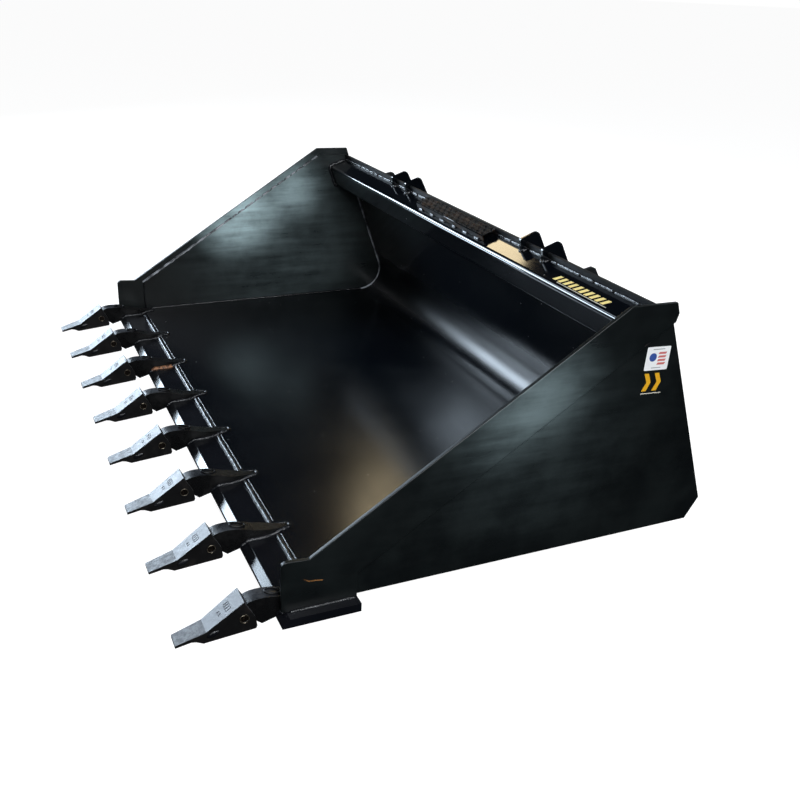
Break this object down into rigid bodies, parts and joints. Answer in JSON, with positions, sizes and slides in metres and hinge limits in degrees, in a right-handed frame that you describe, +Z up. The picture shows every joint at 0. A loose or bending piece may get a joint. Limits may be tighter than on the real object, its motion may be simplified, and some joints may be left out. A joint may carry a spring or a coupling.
{
  "type": "skid steer bucket",
  "caption": "Wide welded loader bucket with cast digging teeth along its cutting edge, a boxed top rail with a step and ears, and a quick-attach back.",
  "frame": {"origin": "middle of the bounding box's footprint, at the level of the lowest point, the underside of the teeth", "axes": "+X across the bucket towards its right side (the side with the label), -Y the digging side where the teeth point, +Y towards the loader, +Z up, with the floor sheet level"},
  "size_m": [1.85, 1.2326, 0.5678],
  "materials": {
    "gloss_black": "gloss black paint",
    "edge_paint": "gloss black paint over rolled wear steel",
    "cast_black": "satin black paint over rough cast steel",
    "tooth_steel": "bare cast steel with a thin grey coat, dark on the sides",
    "pin_steel": "oiled steel with a brown tint",
    "step_paint": "thin satin black paint with rust tint"
  },
  "bodies": {
    "root": {"bucket_shell": "gloss_black", "side_plate_left": "gloss_black", "side_cutter_left": "gloss_black", "side_plate_right": "gloss_black", "side_cutter_right": "gloss_black", "cutting_edge": "edge_paint", "skid_bar_1": "edge_paint", "skid_bar_2": "edge_paint", "skid_bar_3": "edge_paint", "skid_bar_4": "edge_paint", "tooth_adapter_1": "cast_black", "tooth_1": "tooth_steel", "tooth_pin_1": "pin_steel", "tooth_adapter_2": "cast_black", "tooth_2": "tooth_steel", "tooth_pin_2": "pin_steel", "tooth_adapter_3": "cast_black", "tooth_3": "tooth_steel", "tooth_pin_3": "pin_steel", "tooth_adapter_4": "cast_black", "tooth_4": "tooth_steel", "tooth_pin_4": "pin_steel", "tooth_adapter_5": "cast_black", "tooth_5": "tooth_steel", "tooth_pin_5": "pin_steel", "tooth_adapter_6": "cast_black", "tooth_6": "tooth_steel", "tooth_pin_6": "pin_steel", "tooth_adapter_7": "cast_black", "tooth_7": "tooth_steel", "tooth_pin_7": "pin_steel", "tooth_adapter_8": "cast_black", "tooth_8": "tooth_steel", "tooth_pin_8": "pin_steel", "top_rail": "gloss_black", "step_plate": "step_paint", "rail_ear_1": "gloss_black", "rail_ear_2": "gloss_black", "rail_ear_3": "gloss_black", "rail_ear_4": "gloss_black", "attach_hook": "gloss_black", "attach_face_left": "gloss_black", "attach_end_left": "gloss_black", "attach_lip_left": "gloss_black", "lip_gusset_left_1": "gloss_black", "lip_gusset_left_2": "gloss_black", "attach_face_right": "gloss_black", "attach_end_right": "gloss_black", "attach_lip_right": "gloss_black", "lip_gusset_right_1": "gloss_black", "lip_gusset_right_2": "gloss_black"}
  },
  "joints": []
}
